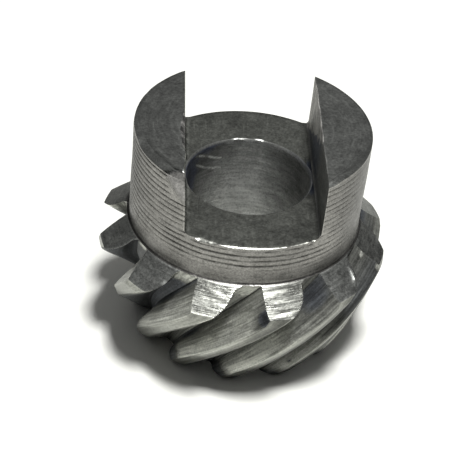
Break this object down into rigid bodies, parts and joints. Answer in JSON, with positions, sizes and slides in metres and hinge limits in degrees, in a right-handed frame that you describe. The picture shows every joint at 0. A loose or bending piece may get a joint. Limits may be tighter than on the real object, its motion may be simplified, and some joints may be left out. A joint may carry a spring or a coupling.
{
  "type": "spiral bevel pinion gear",
  "caption": "One-piece steel spiral bevel pinion with a cylindrical hub, a wide cross slot that leaves two drive jaws, and a plain through bore.",
  "frame": {"origin": "on the gear's axis, in the flat toe face that it stands on", "axes": "+Z along the gear's axis from the toe to the jaws, Y along the cross slot, X from one jaw to the other"},
  "size_m": [0.0232, 0.0232, 0.019],
  "materials": {
    "steel": "bare machined steel, turned tool marks around the hub, brushed tooth flanks"
  },
  "bodies": {
    "root": {"pinion_gear": "steel"}
  },
  "joints": []
}
